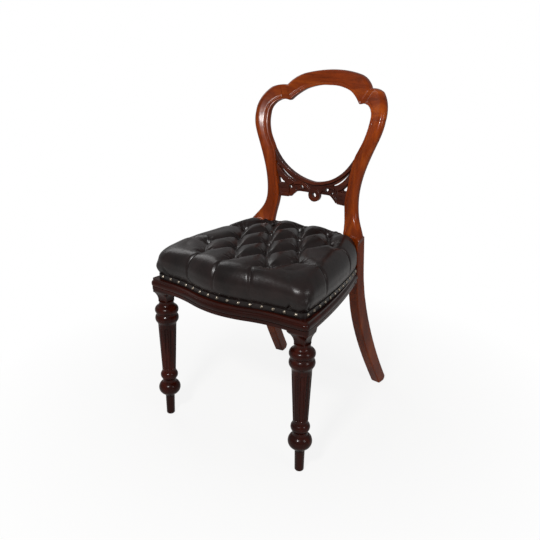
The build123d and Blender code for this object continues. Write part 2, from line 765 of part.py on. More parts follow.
with BuildPart() as leg_head:
    with BuildSketch(Plane(origin=(leg_spread, leg_line, 0), x_dir=(1, 0, 0), z_dir=(0, -1, 0))):
        add(head_profile())
    extrude(amount=2 * head_top_half, both=True)
    with BuildSketch(Plane(origin=(leg_spread, leg_line, 0), x_dir=(0, 1, 0), z_dir=(1, 0, 0))):
        add(head_profile())
    extrude(amount=2 * head_top_half, both=True, mode=Mode.INTERSECT)
    with BuildSketch(Plane.XY.offset(block_low)):
        add(moulding_plan(-bead_inset - 1))
    extrude(amount=rail_bottom - block_low, mode=Mode.INTERSECT)

with BuildPart() as right_front_leg:
    with Locations((leg_spread, leg_line, 0)):
        add(turned_leg.part)
        with PolarLocations(0, flute_count, start_angle=180 / flute_count):
            add(flute.part, mode=Mode.SUBTRACT)
    add(leg_head.part)
    with BuildSketch(Plane.XY.offset(rail_bottom)):
        with Locations((leg_spread, leg_line)):
            Rectangle(2 * block_half, 2 * block_half)
        add(seat_plan(-face_inset), mode=Mode.INTERSECT)
    extrude(amount=rail_height)
    add(dowel_holes.part, mode=Mode.SUBTRACT)

with BuildPart() as left_front_leg:
    add(mirror(right_front_leg.part, about=Plane.YZ, mode=Mode.PRIVATE))

# ---- seat rails ----
with BuildPart() as front_seat_rail:
    with BuildSketch(Plane.XY.offset(rail_bottom)):
        with Locations((0, leg_line + front_rail_inner)):
            Rectangle(2 * block_inner, 2 * moulding_overhang, align=(Align.CENTER, Align.MAX))
        add(seat_plan(-face_inset), mode=Mode.INTERSECT)
    extrude(amount=rail_height)

with BuildPart() as right_seat_rail:
    with BuildSketch(Plane.XY.offset(rail_bottom)):
        with BuildLine():
            Polyline((side_rail_front, leg_line + block_half),
                     (side_rail_rear, leg_line + seat_depth - 31),
                     (side_rail_rear, leg_line + seat_depth - 13),
                     (leg_spread + 50, leg_line + seat_depth - 13),
                     (leg_spread + 50, leg_line + block_half), close=True)
        make_face()
        add(seat_plan(-face_inset), mode=Mode.INTERSECT)
    extrude(amount=rail_height)
    add(right_back_leg.part, mode=Mode.SUBTRACT)

with BuildPart() as back_seat_rail:
    with BuildSketch(Plane.XY.offset(rail_bottom)):
        with Locations((0, back_rail_middle)):
            Rectangle(2 * side_rail_rear - 2, back_rail_width)
    extrude(amount=rail_height)
    add(right_back_leg.part, mode=Mode.SUBTRACT)
    add(left_back_leg.part, mode=Mode.SUBTRACT)

# ---- corner braces and their screws ----
front_face = leg_line + front_rail_inner
rear_face = back_rail_middle - back_rail_width / 2


def side_face(y):
    # the point of the side rail's inner face at this y behind the leg line
    share = (y - block_half) / (seat_depth - 31 - block_half)
    return Vector(side_rail_front + (side_rail_rear - side_rail_front) * share, leg_line + y, 0)


front_brace_x = block_inner - 78
rear_brace_x = side_rail_rear - 74
front_brace_plan = [Vector(front_brace_x, front_face, 0),
                    Vector(front_brace_x + brace_width, front_face, 0),
                    side_face(50), side_face(50 + brace_width)]
rear_brace_plan = [Vector(rear_brace_x, rear_face, 0),
                   Vector(rear_brace_x + brace_width, rear_face, 0),
                   side_face(seat_depth - 68), side_face(seat_depth - 68 - brace_width)]
screw_level = Vector(0, 0, rail_bottom + brace_rise + brace_height / 2)


def screw_axes(plan):
    # where each screw's head seats, and its way into the rail
    for (a, b), way in ((plan[:2], Vector(0, -1 if plan[0].Y < leg_line + 100 else 1, 0)),
                        (plan[2:], side_way * -1)):
        yield (a + b) / 2 - way * brace_seat + screw_level, way


def screws(plan, gap=0.0, pocket=0.0):
    # shanks and heads, or their holes with open pockets over the heads
    with BuildPart() as group:
        for seat, way in screw_axes(plan):
            with BuildSketch(Plane(origin=seat, z_dir=way)):
                Circle(screw_radius + gap)
            extrude(amount=brace_seat + screw_reach + gap)
            with BuildSketch(Plane(origin=seat, z_dir=way)):
                Circle(screw_head_radius + 5 * gap)
            extrude(amount=-screw_head_height - pocket)
    return group.part


with BuildPart() as brace_screws:
    add(screws(front_brace_plan))
    add(screws(rear_brace_plan))
    mirror(about=Plane.YZ)

with BuildPart() as screw_holes:
    add(screws(front_brace_plan, clearance, brace_width))
    add(screws(rear_brace_plan, clearance, brace_width))
    mirror(about=Plane.YZ)


def brace(plan):
    # a block across the corner, with the holes for its screws
    with BuildPart() as block:
        with BuildSketch(Plane.XY.offset(rail_bottom + brace_rise)):
            with BuildLine():
                Polyline(*[(p.X, p.Y) for p in plan], close=True)
            make_face()
        extrude(amount=brace_height)
        add(screw_holes.part, mode=Mode.SUBTRACT)
    return block.part


with BuildPart() as front_right_brace:
    add(brace(front_brace_plan))

with BuildPart() as rear_right_brace:
    add(brace(rear_brace_plan))

with BuildPart() as front_left_brace:
    add(mirror(front_right_brace.part, about=Plane.YZ, mode=Mode.PRIVATE))

with BuildPart() as rear_left_brace:
    add(mirror(rear_right_brace.part, about=Plane.YZ, mode=Mode.PRIVATE))

for rail in (front_seat_rail, right_seat_rail, back_seat_rail):
    with rail:
        add(dowel_holes.part, mode=Mode.SUBTRACT)
        add(screw_holes.part, mode=Mode.SUBTRACT)

with BuildPart() as left_seat_rail:
    add(mirror(right_seat_rail.part, about=Plane.YZ, mode=Mode.PRIVATE))

# ---- show moulding round the front and the sides, mitred at the front corners ----
# its ends follow the back legs' front faces, which lean back below the block
leg_front = Plane(origin=leg_side.from_local_coords((5.8 - leg_depth, moulding_top, 0)),
                  z_dir=leg_side.x_dir * moulding_height + Vector(0, 0, 2.8))
roll_height = moulding_height - bead_height - cap_height
moulding_core = seat_plan(clearance - face_inset)
with BuildPart() as moulding_stock:
    with BuildSketch(Plane.XY.offset(rail_bottom + bead_height)):
        add(moulding_plan())
    extrude(amount=roll_height)
    fillet(moulding_stock.edges().filter_by(Plane.XY), roll_height * 0.42)
    with BuildSketch(Plane.XY.offset(rail_bottom)):
        add(moulding_core)
    extrude(amount=moulding_height, mode=Mode.SUBTRACT)
    for inset, bottom, height in ((bead_inset, rail_bottom, bead_height),
                                  (cap_inset, moulding_top - cap_height - 1, cap_height)):
        with BuildSketch(Plane.XY.offset(bottom)):
            add(moulding_plan(-inset))
            add(moulding_core, mode=Mode.SUBTRACT)
        extrude(amount=height + 1)
    split(bisect_by=leg_front, keep=Keep.BOTTOM)
    split(bisect_by=Plane(origin=(0, leg_line + seat_depth - 20, 0), z_dir=(0, 1, 0)),
          keep=Keep.BOTTOM)

mitre = Plane(origin=(leg_spread + 18, leg_line - 22, 0), z_dir=(1, 1, 0))
with BuildPart() as right_moulding:
    add(moulding_stock.part)
    split(bisect_by=mitre, keep=Keep.TOP)
    split(bisect_by=Plane.YZ, keep=Keep.TOP)

with BuildPart() as left_moulding:
    add(mirror(right_moulding.part, about=Plane.YZ, mode=Mode.PRIVATE))

with BuildPart() as front_moulding:
    add(moulding_stock.part)
    split(bisect_by=mitre, keep=Keep.BOTTOM)
    split(bisect_by=Plane.YZ, keep=Keep.TOP)
    mirror(about=Plane.YZ)

# ---- buttons and their twines ----
button_places = []
for y, places in button_rows:
    for x in places:
        button_places += [(side * leg_spread * x, leg_line + seat_depth * y)
                          for side in ((-1, 1) if x else (1,))]
button_base = well_bottom + soft_clearance

with BuildPart() as seat_buttons:
    with BuildSketch(Plane.XY.offset(button_base)):
        with Locations(*button_places):
            Circle(button_radius)
    extrude(amount=button_height)
    fillet(seat_buttons.edges().group_by(Axis.Z)[-1], button_height * 0.7)

twine_foot = rail_top - knot_radius - soft_clearance
with BuildPart() as button_twines:
    with BuildSketch(Plane.XY.offset(twine_foot)):
        with Locations(*button_places):
            Circle(twine_radius)
    extrude(amount=button_base - twine_foot)
    with Locations(*[(x, y, twine_foot) for x, y in button_places]):
        Sphere(knot_radius)

with BuildPart() as twine_holes:
    with BuildSketch(Plane.XY.offset(rail_bottom)):
        with Locations(*button_places):
            Circle(twine_radius + clearance)
    extrude(amount=rail_height + seat_rise)

# ---- webbing, hessian and first stuffing ----
with BuildPart() as webbing_crosswise:
    with BuildSketch(Plane.XY.offset(rail_top)):
        with Locations(*[(0, leg_line + seat_depth * (0.127 + 0.198 * step)) for step in range(4)]):
            Rectangle(4 * leg_spread, webbing_width)
        add(seat_plan(-webbing_inset), mode=Mode.INTERSECT)
    extrude(amount=webbing_thickness)
    add(leg_notches.part, mode=Mode.SUBTRACT)
    add(twine_holes.part, mode=Mode.SUBTRACT)

with BuildPart() as webbing_lengthwise:
    with BuildSketch(Plane.XY.offset(rail_top + webbing_thickness)):
        with Locations(*[(leg_spread * 0.27 * step, leg_line + seat_depth / 2)
                         for step in range(-2, 3)]):
            Rectangle(webbing_width, 2 * seat_depth)
        add(seat_plan(-webbing_inset), mode=Mode.INTERSECT)
    extrude(amount=webbing_thickness)
    add(leg_notches.part, mode=Mode.SUBTRACT)
    add(twine_holes.part, mode=Mode.SUBTRACT)

hessian_bottom = rail_top + 2 * webbing_thickness
with BuildPart() as hessian:
    with BuildSketch(Plane.XY.offset(hessian_bottom)):
        add(seat_plan(-webbing_inset))
    extrude(amount=hessian_thickness)
    add(leg_notches.part, mode=Mode.SUBTRACT)
    add(twine_holes.part, mode=Mode.SUBTRACT)

stuffing_bottom = hessian_bottom + hessian_thickness


def padding(gap=0.0):
    # the first stuffing, or the hollow round it
    with BuildPart() as pad:
        with BuildSketch(Plane.XY.offset(stuffing_bottom)):
            add(seat_plan(gap - padding_edge))
            add(notch_plan(padding_edge / 2 - gap), mode=Mode.SUBTRACT)
        extrude(amount=padding_height + gap)
    return pad.part


with BuildPart() as first_stuffing:
    add(padding())
    add(twine_holes.part, mode=Mode.SUBTRACT)

# ---- tufted seat: the hide with its second stuffing ----
band_bottom = moulding_top + soft_clearance
# sections of the crown: share of its height above the rails, swell about the seat's middle
crown = ((-0.11, 1.0), (0.1, 1.02), (0.34, 1.035), (0.55, 1.03), (0.71, 1.0), (0.83, 0.955),
         (0.93, 0.87), (1.0, 0.6))


def near(a, b):
    # buttons of neighbouring rows that a hollow joins
    return (0.1 < abs(a[1] - b[1]) / seat_depth < 0.25
            and abs(a[0] - b[0]) < leg_spread * 0.29)


def swelled(sink=0.0):
    # the crown, or a smaller one under its skin
    with BuildPart() as dome:
        for share, scale in crown:
            with BuildSketch(Plane.XY.offset(rail_top + seat_rise * share - sink)):
                add(seat_plan(0, scale - sink * 0.005))
        loft(ruled=True)
    return dome.part


channel_height = rail_top + seat_rise - channel_depth + channel_radius
channels = []
for a in button_places:
    for b in button_places:
        if a[1] < b[1] and near(a, b):
            channels += [((*a, channel_height), (*b, channel_height))]

with BuildPart() as wells:
    # a tapering well for each button
    for place in button_places:
        for level, radius in ((well_bottom, button_radius + 0.7),
                              (rail_top + seat_rise + 8, well_radius)):
            with BuildSketch(Plane.XY.offset(level)):
                with Locations(place):
                    Circle(radius)
        loft()

# pleats: from a button of the outer ring straight out over the edge, or round a front corner
front_corner = Vector(leg_spread, leg_line, 0)
pleat_runs = []
for x, y in button_places:
    if y < leg_line + seat_depth * 0.1:
        pleat_runs += [(Vector(x, y, 0), Vector(x * 1.04, leg_line - 2 * moulding_overhang, 0))]
    elif x > leg_spread * 0.5:
        pleat_runs += [(Vector(x, y, 0), Vector(leg_spread * 1.5, y - 12, 0)),
                       (Vector(-x, y, 0), Vector(-leg_spread * 1.5, y - 12, 0))]
for way in (-0.62, 0.62):
    for side in (-1, 1):
        inside = front_corner + Vector(-6 + 14 * way, 14 * way - 6, 0)
        out = Vector(side * (1 + way), way - 1, 0).normalized() * 90
        foot = Vector(side * inside.X, inside.Y, 0)
        pleat_runs += [(foot, foot + out)]

with BuildPart() as pleats:
    for start, end in pleat_runs:
        way = (end - start).normalized()
        with BuildSketch(Plane(origin=start + Vector(0, 0, rail_top + 4), x_dir=way, z_dir=(0, 0, 1))):
            Rectangle((end - start).length, pleat_width, align=(Align.MIN, Align.CENTER))
        extrude(amount=2 * seat_rise)
    add(swelled(pleat_depth), mode=Mode.SUBTRACT)

with BuildPart() as leather_seat:
    add(swelled())
    add(pleats.part, mode=Mode.SUBTRACT)
    add(wells.part, mode=Mode.SUBTRACT)
    add(rods(channels, channel_radius), mode=Mode.SUBTRACT)
    skirt_top = rail_top + seat_rise * crown[0][0]
    with BuildSketch(Plane.XY.offset(band_bottom)):
        add(seat_plan())
    extrude(amount=skirt_top - band_bottom)
    with BuildSketch(Plane.XY.offset(rail_bottom)):
        add(seat_plan(-face_inset))
    extrude(amount=stuffing_bottom + soft_clearance - rail_bottom, mode=Mode.SUBTRACT)
    add(padding(soft_clearance), mode=Mode.SUBTRACT)
    add(leg_notches.part, mode=Mode.SUBTRACT)
    add(twine_holes.part, mode=Mode.SUBTRACT)

# ---- leather band over the leather's lower edge, and its brass nails ----
with BuildPart() as band_stock:
    with BuildSketch(Plane.XY.offset(band_bottom)):
        add(seat_plan(clearance + band_thickness))
        add(seat_plan(clearance), mode=Mode.SUBTRACT)
    extrude(amount=band_height)
    add(leg_notches.part, mode=Mode.SUBTRACT)

band_parting = Plane(origin=(0, leg_line + seat_depth - 25, 0), z_dir=(0, 1, 0))
with BuildPart() as leather_banding:
    add(band_stock.part)
    split(bisect_by=band_parting, keep=Keep.BOTTOM)

with BuildPart() as rear_leather_banding:
    add(band_stock.part)
    split(bisect_by=band_parting, keep=Keep.TOP)

with BuildPart() as nail:
    # dome and shank on the local Z axis
    with BuildSketch(Plane.XZ):
        with BuildLine():
            ThreePointArc((0, nail_dome), (nail_radius * 0.72, nail_dome * 0.62), (nail_radius, 0))
            Line((nail_radius, 0), (nail_shank_radius, 0))
            depth = band_thickness + clearance + face_inset + nail_reach
            Line((nail_shank_radius, 0), (nail_shank_radius, 1 - depth))
            Line((nail_shank_radius, 1 - depth), (0, -depth))
            Line((0, -depth), (0, nail_dome))
        make_face()
    revolve(axis=Axis.Z)

with BuildLine() as nail_path:
    leather_edge()
nail_line = Wire(nail_path.edges())
nail_planes = []
for step in range(nail_intervals + 1):
    place = nail_line.length * step / nail_intervals * 0.995
    start = nail_line.position_at(place, position_mode=PositionMode.LENGTH)
    run = nail_line.tangent_at(place, position_mode=PositionMode.LENGTH)
    for side in (-1, 1) if step else (1,):
        out = Vector(side * run.Y, -run.X, 0)
        on_band = Vector(side * start.X, start.Y, rail_bottom + nail_height)
        nail_planes += [Plane(origin=on_band + out * (band_thickness + clearance), z_dir=out)]
for step in range(back_nail_count):
    x = (step - (back_nail_count - 1) / 2) * back_nail_spacing
    nail_planes += [Plane(origin=(x, leg_line + seat_rear + band_thickness + clearance,
                                  rail_bottom + nail_height), z_dir=(0, 1, 0))]

with BuildPart() as brass_nails:
    with Locations(*nail_planes):
        add(nail.part)

# ---- one file for each piece ----
crest_rail.part.label = "crest_rail"
export_step(crest_rail.part, "parts/crest_rail.step")
right_back_leg.part.label = "right_back_leg"
export_step(right_back_leg.part, "parts/right_back_leg.step")
left_back_leg.part.label = "left_back_leg"
export_step(left_back_leg.part, "parts/left_back_leg.step")
carved_back_rail.part.label = "carved_back_rail"
export_step(carved_back_rail.part, "parts/carved_back_rail.step")
shoulder_dowels.part.label = "shoulder_dowels"
export_step(shoulder_dowels.part, "parts/shoulder_dowels.step")
carved_rail_dowels.part.label = "carved_rail_dowels"
export_step(carved_rail_dowels.part, "parts/carved_rail_dowels.step")
right_front_leg.part.label = "right_front_leg"
export_step(right_front_leg.part, "parts/right_front_leg.step")
left_front_leg.part.label = "left_front_leg"
export_step(left_front_leg.part, "parts/left_front_leg.step")
front_seat_rail.part.label = "front_seat_rail"
export_step(front_seat_rail.part, "parts/front_seat_rail.step")
right_seat_rail.part.label = "right_seat_rail"
export_step(right_seat_rail.part, "parts/right_seat_rail.step")
left_seat_rail.part.label = "left_seat_rail"
export_step(left_seat_rail.part, "parts/left_seat_rail.step")
back_seat_rail.part.label = "back_seat_rail"
export_step(back_seat_rail.part, "parts/back_seat_rail.step")
front_right_brace.part.label = "front_right_brace"
export_step(front_right_brace.part, "parts/front_right_brace.step")
front_left_brace.part.label = "front_left_brace"
export_step(front_left_brace.part, "parts/front_left_brace.step")
rear_right_brace.part.label = "rear_right_brace"
export_step(rear_right_brace.part, "parts/rear_right_brace.step")
rear_left_brace.part.label = "rear_left_brace"
export_step(rear_left_brace.part, "parts/rear_left_brace.step")
rail_dowels.part.label = "rail_dowels"
export_step(rail_dowels.part, "parts/rail_dowels.step")
brace_screws.part.label = "brace_screws"
export_step(brace_screws.part, "parts/brace_screws.step")
front_moulding.part.label = "front_moulding"
export_step(front_moulding.part, "parts/front_moulding.step")
right_moulding.part.label = "right_moulding"
export_step(right_moulding.part, "parts/right_moulding.step")
left_moulding.part.label = "left_moulding"
export_step(left_moulding.part, "parts/left_moulding.step")
webbing_crosswise.part.label = "webbing_crosswise"
export_step(webbing_crosswise.part, "parts/webbing_crosswise.step")
webbing_lengthwise.part.label = "webbing_lengthwise"
export_step(webbing_lengthwise.part, "parts/webbing_lengthwise.step")
hessian.part.label = "hessian"
export_step(hessian.part, "parts/hessian.step")
first_stuffing.part.label = "first_stuffing"
export_step(first_stuffing.part, "parts/first_stuffing.step")
leather_seat.part.label = "leather_seat"
export_step(leather_seat.part, "parts/leather_seat.step")
leather_banding.part.label = "leather_banding"
export_step(leather_banding.part, "parts/leather_banding.step")
rear_leather_banding.part.label = "rear_leather_banding"
export_step(rear_leather_banding.part, "parts/rear_leather_banding.step")
seat_buttons.part.label = "seat_buttons"
export_step(seat_buttons.part, "parts/seat_buttons.step")
button_twines.part.label = "button_twines"
export_step(button_twines.part, "parts/button_twines.step")
brass_nails.part.label = "brass_nails"
export_step(brass_nails.part, "parts/brass_nails.step")
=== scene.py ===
import math

import bmesh
import bpy
import numpy as np
from mathutils import Matrix, Vector
from mathutils.bvhtree import BVHTree


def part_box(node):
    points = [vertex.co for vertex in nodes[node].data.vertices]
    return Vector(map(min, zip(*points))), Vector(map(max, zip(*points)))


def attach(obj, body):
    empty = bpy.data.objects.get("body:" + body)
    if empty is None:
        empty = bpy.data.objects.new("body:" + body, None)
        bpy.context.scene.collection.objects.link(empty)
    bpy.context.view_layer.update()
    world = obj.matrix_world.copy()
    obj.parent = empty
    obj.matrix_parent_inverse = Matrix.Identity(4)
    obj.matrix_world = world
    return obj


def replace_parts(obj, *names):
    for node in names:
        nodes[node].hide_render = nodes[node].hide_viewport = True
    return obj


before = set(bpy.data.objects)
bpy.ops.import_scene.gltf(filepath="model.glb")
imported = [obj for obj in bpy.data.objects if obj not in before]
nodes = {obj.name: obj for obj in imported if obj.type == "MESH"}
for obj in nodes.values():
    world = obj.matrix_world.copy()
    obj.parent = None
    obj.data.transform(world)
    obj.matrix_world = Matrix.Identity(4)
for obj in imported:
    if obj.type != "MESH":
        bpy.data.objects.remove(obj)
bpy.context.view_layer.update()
print("frame loaded")

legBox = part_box("right_front_leg")
legLine = (legBox[0][1] + legBox[1][1]) / 2     # y of the front legs' axes


def hexToLinear(code):
    # "#rrggbb" as a linear colour
    parts = [int(code[i:i + 2], 16) / 255 for i in (1, 3, 5)]
    return [p / 12.92 if p <= 0.04045 else ((p + 0.055) / 1.055) ** 2.4 for p in parts] + [1.0]


def addNode(tree, kind, settings=None, **links):
    # one node with its settings and the links or values of its inputs
    node = tree.nodes.new(kind)
    for name, value in (settings or {}).items():
        setattr(node, name, value)
    for name, value in links.items():
        key = int(name[1:]) if name[0] == "i" and name[1:].isdigit() else name.replace("_", " ")
        if isinstance(value, bpy.types.NodeSocket):
            tree.links.new(value, node.inputs[key])
        else:
            node.inputs[key].default_value = value
    return node


def setRamp(node, stops):
    # stops of a place and a colour, "#rrggbb" or a grey level
    ramp = node.color_ramp
    while len(ramp.elements) < len(stops):
        ramp.elements.new(0.5)
    for element, (place, colour) in zip(ramp.elements, stops):
        element.position = place
        shade = hexToLinear(colour) if isinstance(colour, str) else (colour, colour, colour, 1)
        element.color = shade


def startMaterial(name):
    # a new material, its tree, its shader and its texture coordinates
    material = bpy.data.materials.new(name)
    material.use_nodes = True
    tree = material.node_tree
    shader = tree.nodes["Principled BSDF"]
    coords = addNode(tree, "ShaderNodeTexCoord")
    return material, tree, shader, coords


def finishMesh(name, bm, material):
    # a bmesh as a smooth object at the origin that rides on the chair
    bm.normal_update()
    mesh = bpy.data.meshes.new(name)
    bm.to_mesh(mesh)
    bm.free()
    piece = bpy.data.objects.new(name, mesh)
    bpy.context.scene.collection.objects.link(piece)
    piece.data.materials.append(material)
    for face in piece.data.polygons:
        face.use_smooth = True
    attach(piece, "root")
    return piece


def dress(nodeName, material):
    # a new finish on a piece of the frame
    piece = nodes[nodeName]
    piece.data.materials.clear()
    piece.data.materials.append(material)


mahogany = {
    "light": "#b5560f", "middle": "#7d3009", "dark": "#3d1204",
    "figure": 0.03, "stretch": 0.12,        # size across the grain, and how much slower along it
    "pore": 0.0012, "poreRelief": 0.0003,
    "roughness": 0.24, "coat": 0.18, "coatRoughness": 0.12, "specular": 0.08,
}
# a much darker copy of the same mahogany for the turned legs and the seat moulding: painted shade
# on the lower frame
paintedShadeTone = {"light": "#4c1609", "middle": "#2a0b05", "dark": "#140402"}
carvedTone = {"light": "#74300f", "middle": "#431708", "dark": "#160502", "specular": 0.2}


def makeMahogany(name, tone, direction):
    # French polished Cuban mahogany: red brown, fine short pores, a deep glassy skin
    material, tree, shader, coords = startMaterial(name)
    stretch = [mahogany["stretch"] if axis == direction else 1 for axis in "XYZ"]
    mapped = addNode(tree, "ShaderNodeMapping", Vector=coords.outputs["Object"], Scale=stretch)
    figure = addNode(tree, "ShaderNodeTexNoise", Vector=mapped.outputs[0],
                     Scale=1 / mahogany["figure"], Detail=6.0, Roughness=0.62, Distortion=0.6)
    pores = addNode(tree, "ShaderNodeTexNoise", Vector=mapped.outputs[0],
                    Scale=0.6 / mahogany["pore"], Detail=3.0, Roughness=0.6)
    colours = addNode(tree, "ShaderNodeValToRGB", Fac=figure.outputs["Fac"])
    setRamp(colours, ((0.12, tone["dark"]), (0.5, tone["middle"]), (0.9, tone["light"])))
    poreMask = addNode(tree, "ShaderNodeValToRGB", Fac=pores.outputs["Fac"])
    setRamp(poreMask, ((0.34, 0.78), (0.5, 1.0)))
    cloudy = addNode(tree, "ShaderNodeTexNoise", Vector=coords.outputs["Object"], Scale=9.0,
                     Detail=3.0)
    clouds = addNode(tree, "ShaderNodeValToRGB", Fac=cloudy.outputs["Fac"])
    setRamp(clouds, ((0.3, 0.72), (0.7, 1.12)))
    grained = addNode(tree, "ShaderNodeMix", {"data_type": "RGBA", "blend_type": "MULTIPLY"},
                      i0=1.0, i6=colours.outputs[0], i7=poreMask.outputs[0])
    aged = addNode(tree, "ShaderNodeMix", {"data_type": "RGBA", "blend_type": "MULTIPLY"},
                   i0=1.0, i6=grained.outputs[2], i7=clouds.outputs[0])
    tree.links.new(aged.outputs[2], shader.inputs["Base Color"])
    bump = addNode(tree, "ShaderNodeBump", Height=pores.outputs["Fac"], Strength=0.012,
                   Distance=mahogany["poreRelief"])
    tree.links.new(bump.outputs[0], shader.inputs["Normal"])
    rough = addNode(tree, "ShaderNodeMapRange", Value=cloudy.outputs["Fac"],
                    To_Min=mahogany["roughness"] - 0.05, To_Max=mahogany["roughness"] + 0.12)
    tree.links.new(rough.outputs[0], shader.inputs["Roughness"])
    shader.inputs["IOR"].default_value = 1.5
    shader.inputs["Specular IOR Level"].default_value = tone.get("specular", mahogany["specular"])
    shader.inputs["Coat Weight"].default_value = mahogany["coat"]
    shader.inputs["Coat Roughness"].default_value = mahogany["coatRoughness"]
    return material


crestWood = makeMahogany("polished mahogany crest", mahogany, "X")
stileWood = makeMahogany("polished mahogany stiles", mahogany, "Z")
# the legs and the moulding take the darker copy, which paints shade into their colour
legWood = makeMahogany("polished mahogany turned legs", paintedShadeTone, "Z")
railWood = makeMahogany("polished mahogany moulding", paintedShadeTone, "X")
carvedWood = makeMahogany("carved mahogany", carvedTone, "X")

beechLook = {"light": "#b98f5f", "dark": "#8a6238"}
stainedLook = {"light": "#4b2415", "dark": "#2c130a"}


def makeBeech(name, look):
    # planed beech rails and blocks: short dark flecks, no polish
    material, tree, shader, coords = startMaterial(name)
    mapped = addNode(tree, "ShaderNodeMapping", Vector=coords.outputs["Object"],
                     Scale=(0.2, 0.2, 1))
    flecks = addNode(tree, "ShaderNodeTexNoise", Vector=mapped.outputs[0], Scale=240.0, Detail=4.0)
    colours = addNode(tree, "ShaderNodeValToRGB", Fac=flecks.outputs["Fac"])
    setRamp(colours, ((0.35, look["dark"]), (0.6, look["light"])))
    tree.links.new(colours.outputs[0], shader.inputs["Base Color"])
    shader.inputs["Roughness"].default_value = 0.7
    return material


leatherLook = {
    "colour": "#0f0908", "worn": "#211716", "grain": 0.0011, "grainRelief": 0.0004,
    "creaseRelief": 0.0016, "roughness": 0.29, "specular": 0.3,
}


def makeLeather(name, creaseSize):
    # aniline cow hide, waxed black: fine pebble grain, small creases, a soft gloss
    material, tree, shader, coords = startMaterial(name)
    grain = addNode(tree, "ShaderNodeTexVoronoi", Vector=coords.outputs["Object"],
                    Scale=1 / leatherLook["grain"], Randomness=0.9)
    creases = addNode(tree, "ShaderNodeTexNoise", Vector=coords.outputs["Object"],
                      Scale=1 / creaseSize, Detail=8.0, Roughness=0.62, Distortion=0.8)
    cloudy = addNode(tree, "ShaderNodeTexNoise", Vector=coords.outputs["Object"], Scale=22.0,
                     Detail=4.0)
    colours = addNode(tree, "ShaderNodeValToRGB", Fac=cloudy.outputs["Fac"])
    setRamp(colours, ((0.35, leatherLook["colour"]), (0.75, leatherLook["worn"])))
    tree.links.new(colours.outputs[0], shader.inputs["Base Color"])
    fine = addNode(tree, "ShaderNodeBump", Height=grain.outputs["Distance"], Strength=0.12,
                   Distance=leatherLook["grainRelief"])
    broad = addNode(tree, "ShaderNodeBump", Height=creases.outputs["Fac"], Strength=0.22,
                    Distance=leatherLook["creaseRelief"], Normal=fine.outputs[0])
    tree.links.new(broad.outputs[0], shader.inputs["Normal"])
    rough = addNode(tree, "ShaderNodeMapRange", Value=creases.outputs["Fac"],
                    To_Min=leatherLook["roughness"] - 0.08, To_Max=leatherLook["roughness"] + 0.12)
    tree.links.new(rough.outputs[0], shader.inputs["Roughness"])
    shader.inputs["IOR"].default_value = 1.5
    shader.inputs["Specular IOR Level"].default_value = leatherLook["specular"]
    return material


metalLooks = {
    "aged brass": {"dark": "#4d463d", "light": "#a0978a", "edges": (0.35, 0.65), "spots": 420.0,
                   "detail": 3.0, "roughness": 0.34},
    "plain steel": {"dark": "#6b6866", "light": "#8d8a87", "edges": (0.3, 0.7), "spots": 300.0,
                    "detail": 2.0, "roughness": 0.4},
}


def makeMetal(name):
    # nail heads or wood screws: spotted light and dark at random
    look = metalLooks[name]
    material, tree, shader, coords = startMaterial(name)
    spots = addNode(tree, "ShaderNodeTexNoise", Vector=coords.outputs["Object"],
                    Scale=look["spots"], Detail=look["detail"])
    colours = addNode(tree, "ShaderNodeValToRGB", Fac=spots.outputs["Fac"])
    setRamp(colours, ((look["edges"][0], look["dark"]), (look["edges"][1], look["light"])))
    tree.links.new(colours.outputs[0], shader.inputs["Base Color"])
    shader.inputs["Metallic"].default_value = 1.0
    shader.inputs["Roughness"].default_value = look["roughness"]
    return material


def makeWoven(name, light, dark, pitch):
    # plain weave, threads at the pitch in metres
    material, tree, shader, coords = startMaterial(name)
    waves = []
    for axis in ("X", "Y"):
        waves += [addNode(tree, "ShaderNodeTexWave", {"bands_direction": axis},
                          Vector=coords.outputs["Object"], Scale=0.314 / pitch, Distortion=0.4)]
    both = addNode(tree, "ShaderNodeMath", {"operation": "MULTIPLY"}, i0=waves[0].outputs["Fac"],
                   i1=waves[1].outputs["Fac"])
    colours = addNode(tree, "ShaderNodeValToRGB", Fac=both.outputs[0])
    setRamp(colours, ((0.1, dark), (0.7, light)))
    tree.links.new(colours.outputs[0], shader.inputs["Base Color"])
    bump = addNode(tree, "ShaderNodeBump", Height=both.outputs[0], Strength=0.6, Distance=0.0005)
    tree.links.new(bump.outputs[0], shader.inputs["Normal"])
    shader.inputs["Roughness"].default_value = 0.9
    return material


beech = makeBeech("planed beech", beechLook)
stainedBeech = makeBeech("stained beech", stainedLook)
seatHide = makeLeather("waxed black hide", 0.012)
bandHide = makeLeather("waxed black hide strip", 0.02)
brass = makeMetal("aged brass")
jute = makeWoven("jute webbing", "#a58a5c", "#5f4a2a", 0.0022)
sacking = makeWoven("hessian sacking", "#9b8053", "#4d3b20", 0.0016)
hair = makeWoven("horsehair stuffing", "#3a2d22", "#150f0a", 0.004)
linen = makeWoven("waxed linen twine", "#c2b08a", "#7d6b48", 0.0008)
steel = makeMetal("plain steel")

for names, finish in (
        (("crest_rail",), crestWood), (("right_back_leg", "left_back_leg"), stileWood),
        (("carved_back_rail",), carvedWood),
        (("right_front_leg", "left_front_leg"), legWood),
        (("front_moulding", "right_moulding", "left_moulding"), railWood),
        (("front_seat_rail", "right_seat_rail", "left_seat_rail", "back_seat_rail"), stainedBeech),
        (("front_right_brace", "front_left_brace", "rear_right_brace", "rear_left_brace",
          "rail_dowels", "shoulder_dowels", "carved_rail_dowels"), beech),
        (("brace_screws",), steel), (("webbing_crosswise", "webbing_lengthwise"), jute),
        (("hessian",), sacking), (("first_stuffing",), hair), (("button_twines",), linen),
        (("leather_banding", "rear_leather_banding"), bandHide), (("brass_nails",), brass),
        (("seat_buttons",), seatHide), (("leather_seat",), seatHide)):
    for nodeName in names:
        dress(nodeName, finish)
print("finishes on the frame")

# the polished frame: the sawn edges are rubbed round, and crest and stiles run on smoothly
polish = {"frameGrid": 0.0013, "framePasses": 12, "carvedGrid": 0.0008, "carvedPasses": 3}


